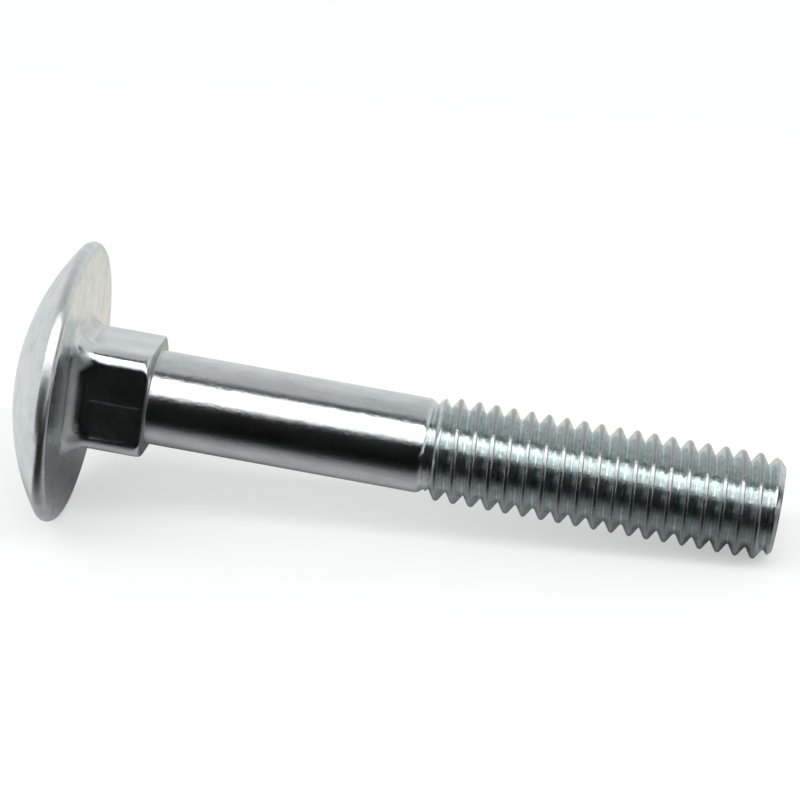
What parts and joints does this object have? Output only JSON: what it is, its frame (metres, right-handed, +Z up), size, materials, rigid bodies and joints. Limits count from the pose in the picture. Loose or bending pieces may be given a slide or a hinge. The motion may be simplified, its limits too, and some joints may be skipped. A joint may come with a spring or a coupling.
{
  "type": "carriage bolt",
  "caption": "Mushroom-head bolt with a square neck, a plain shank and a rolled right-hand metric thread, lying at rest on its head's rim and its tip.",
  "frame": {"origin": "middle of the lying bolt's box, on the surface that it lies on", "axes": "+X along the bolt's length towards the tip, +Z up; the bolt's own axis runs along +X and drops 7.33 degrees towards the tip"},
  "size_m": [0.0434, 0.016, 0.016],
  "materials": {
    "zinc_plate": "bright zinc plate on cold-formed steel, glossy with faint draw marks along the shank"
  },
  "bodies": {
    "root": {"carriage_bolt": "zinc_plate"}
  },
  "joints": []
}
